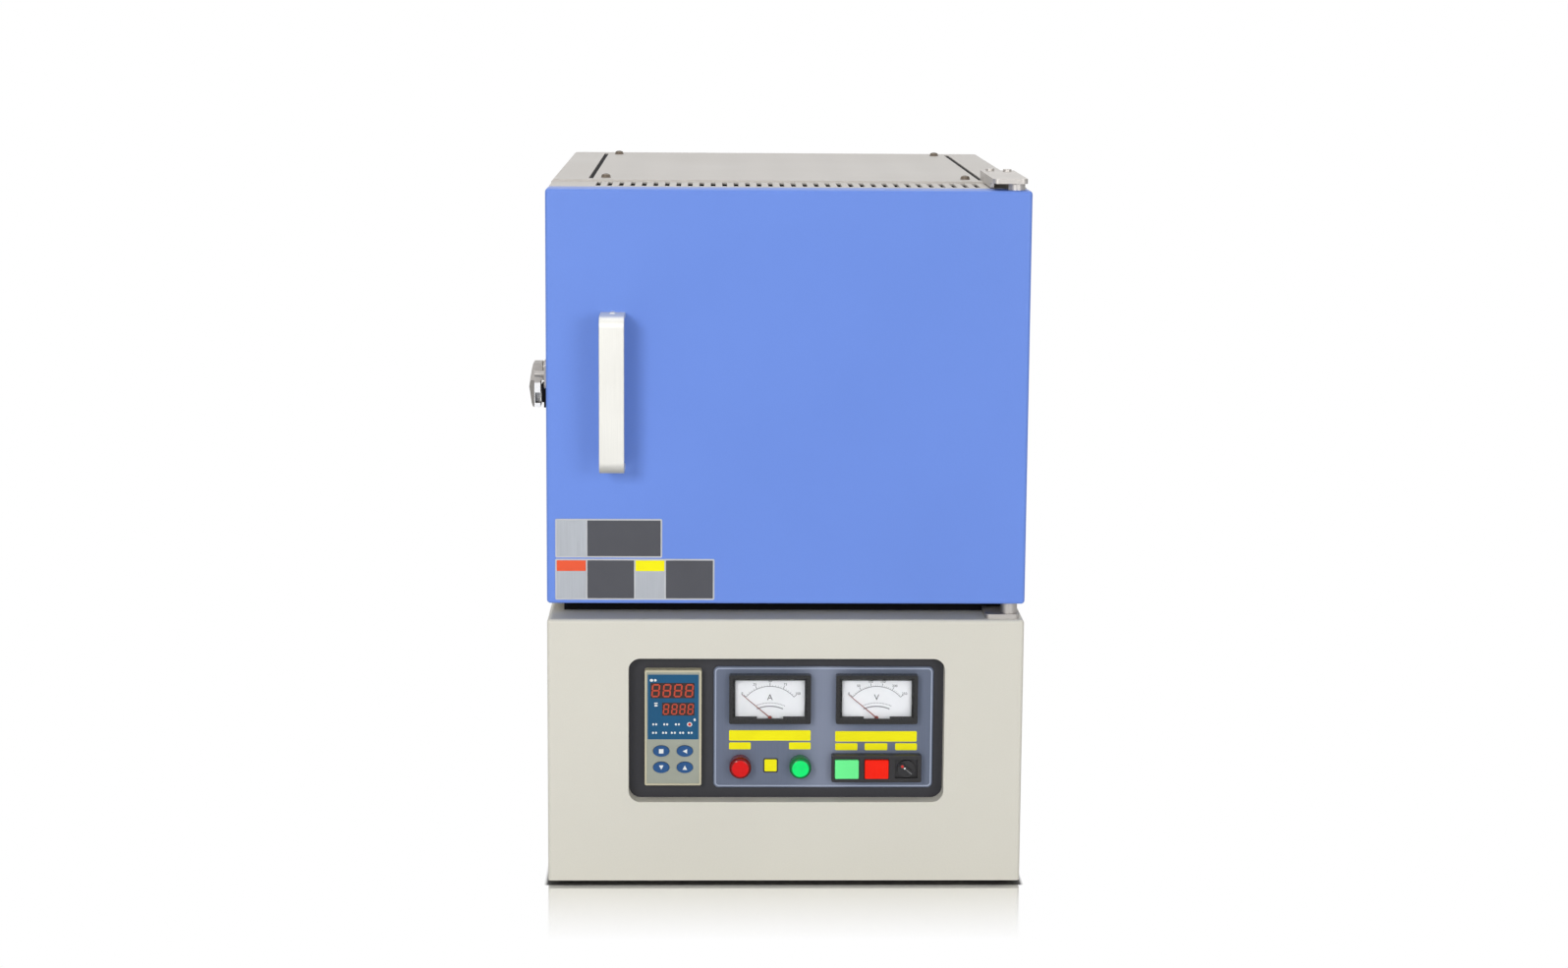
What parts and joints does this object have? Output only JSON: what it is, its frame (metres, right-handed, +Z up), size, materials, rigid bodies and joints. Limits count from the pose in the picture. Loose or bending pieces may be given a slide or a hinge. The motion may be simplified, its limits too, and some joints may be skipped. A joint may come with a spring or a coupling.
{
  "type": "muffle furnace",
  "caption": "Bench muffle furnace: side-hung door and fibre-lined chamber with hanging rod elements, on a control base with a digital controller, panel meters, lamps and push buttons.",
  "frame": {"origin": "on the floor plane under the middle of the base box, whose underside is 3.5 mm above it on its feet", "axes": "+Z up, the door and the control window face -Y, +X to the right seen from the front"},
  "size_m": [0.4164, 0.557, 0.6008],
  "materials": {
    "base_paint": "satin, fine orange peel",
    "cabinet_paint": "satin",
    "door_paint": "satin, fine texture",
    "panel_black": "satin",
    "plate_grey": "satin",
    "galvanised": "galvanised",
    "inner_steel": "satin",
    "bright_steel": "bright",
    "handle_metal": "satin",
    "zinc_cast": "cast, satin plated",
    "screw_steel": "plated",
    "controller_plastic": "matte",
    "controller_sheet": "printed film",
    "key_blue": "gloss",
    "meter_plastic": "gloss",
    "dial_white": "matte print",
    "clear_glass": "clear",
    "needle_red": "matte",
    "lamp_red": "translucent",
    "lamp_green": "translucent",
    "button_green": "gloss",
    "button_red": "gloss",
    "switch_black": "satin",
    "black_plastic": "matte",
    "rubber_foot": "matte",
    "wool_white": "fibrous",
    "alumina": "matte",
    "element_grey": "glassy oxide",
    "strap_metal": "braided",
    "core_steel": "varnished",
    "coil_copper": "varnished",
    "sink_metal": "extruded"
  },
  "bodies": {
    "furnace_body": {"base_shell": "base_paint", "base_floor": "galvanised", "base_rear_cover": "base_paint", "feet": "rubber_foot", "control_panel": "panel_black", "instrument_plate": "plate_grey", "controller_case": "controller_plastic", "controller_face": "controller_sheet", "meter_cases": "meter_plastic", "meter_dials": "dial_white", "meter_windows": "clear_glass", "red_lamp": "lamp_red", "green_lamp": "lamp_green", "lamp_bodies": "black_plastic", "switch_frame": "switch_black", "transformer_core": "core_steel", "transformer_coils": "coil_copper", "heat_sink": "sink_metal", "power_module": "black_plastic", "terminal_block": "black_plastic", "fan_housing": "black_plastic", "fan_guard": "bright_steel", "power_gland": "black_plastic", "cabinet_rails": "galvanised", "front_frame": "cabinet_paint", "cabinet_shell": "cabinet_paint", "top_cover": "cabinet_paint", "cabinet_floor": "galvanised", "cabinet_rear": "cabinet_paint", "panel_screws": "screw_steel", "inner_case": "inner_steel", "insulation": "wool_white", "hearth_plate": "alumina", "element_bricks": "alumina", "heating_elements": "element_grey", "element_clips": "alumina", "element_straps": "strap_metal", "thermocouple": "alumina", "upper_hinge_bracket": "bright_steel", "lower_hinge_bracket": "bright_steel", "hinge_screws": "screw_steel", "latch_base": "zinc_cast"},
    "door": {"door_shell": "door_paint", "door_liner": "inner_steel", "door_plug": "wool_white", "door_handle": "handle_metal", "handle_screws": "screw_steel", "hinge_pins": "bright_steel", "latch_keeper": "zinc_cast"},
    "latch": {"latch_lever": "zinc_cast"},
    "start": {"start_button": "button_green"},
    "stop": {"stop_button": "button_red"},
    "selector": {"selector_knob": "switch_black"},
    "set_key": {"set_key": "key_blue"},
    "shift_key": {"shift_key": "key_blue"},
    "down_key": {"down_key": "key_blue"},
    "up_key": {"up_key": "key_blue"},
    "ammeter_needle": {"ammeter_needle": "needle_red"},
    "voltmeter_needle": {"voltmeter_needle": "needle_red"},
    "fan": {"fan_rotor": "black_plastic"}
  },
  "joints": [
    {"name": "door_swing", "type": "hinge", "parent": "furnace_body", "child": "door", "pos_m": [0.188, -0.236, 0.416], "axis": [0, 0, 1], "range_deg": [0, 120]},
    {"name": "latch_turn", "type": "hinge", "parent": "furnace_body", "child": "latch", "pos_m": [-0.209, -0.205, 0.4334], "axis": [-1, 0, 0], "range_deg": [0, 90]},
    {"name": "start_press", "type": "slide", "parent": "furnace_body", "child": "start", "axis": [0, 1, 0], "range_m": [0, 0.003], "stiffness_N_per_m": 400, "springref_m": -0.001},
    {"name": "stop_press", "type": "slide", "parent": "furnace_body", "child": "stop", "axis": [0, 1, 0], "range_m": [0, 0.003], "stiffness_N_per_m": 400, "springref_m": -0.001},
    {"name": "selector_turn", "type": "hinge", "parent": "furnace_body", "child": "selector", "pos_m": [0.1028, -0.245, 0.0994], "axis": [0, 1, 0], "range_deg": [-90, 0]},
    {"name": "set_key_press", "type": "slide", "parent": "furnace_body", "child": "set_key", "axis": [0, 1, 0], "range_m": [0, 0.0008], "stiffness_N_per_m": 300, "springref_m": -0.0005},
    {"name": "shift_key_press", "type": "slide", "parent": "furnace_body", "child": "shift_key", "axis": [0, 1, 0], "range_m": [0, 0.0008], "stiffness_N_per_m": 300, "springref_m": -0.0005},
    {"name": "down_key_press", "type": "slide", "parent": "furnace_body", "child": "down_key", "axis": [0, 1, 0], "range_m": [0, 0.0008], "stiffness_N_per_m": 300, "springref_m": -0.0005},
    {"name": "up_key_press", "type": "slide", "parent": "furnace_body", "child": "up_key", "axis": [0, 1, 0], "range_m": [0, 0.0008], "stiffness_N_per_m": 300, "springref_m": -0.0005},
    {"name": "ammeter_needle_turn", "type": "hinge", "parent": "furnace_body", "child": "ammeter_needle", "pos_m": [-0.0129, -0.2396, 0.1427], "axis": [0, 1, 0], "range_deg": [0, 98], "stiffness_Nm_per_rad": 0.0002, "springref_deg": -8.59},
    {"name": "voltmeter_needle_turn", "type": "hinge", "parent": "furnace_body", "child": "voltmeter_needle", "pos_m": [0.0773, -0.2396, 0.1427], "axis": [0, 1, 0], "range_deg": [0, 98], "stiffness_Nm_per_rad": 0.0002, "springref_deg": -8.59},
    {"name": "fan_spin", "type": "hinge", "parent": "furnace_body", "child": "fan", "pos_m": [0.112, 0.24, 0.12], "axis": [0, 1, 0], "continuous": true}
  ]
}
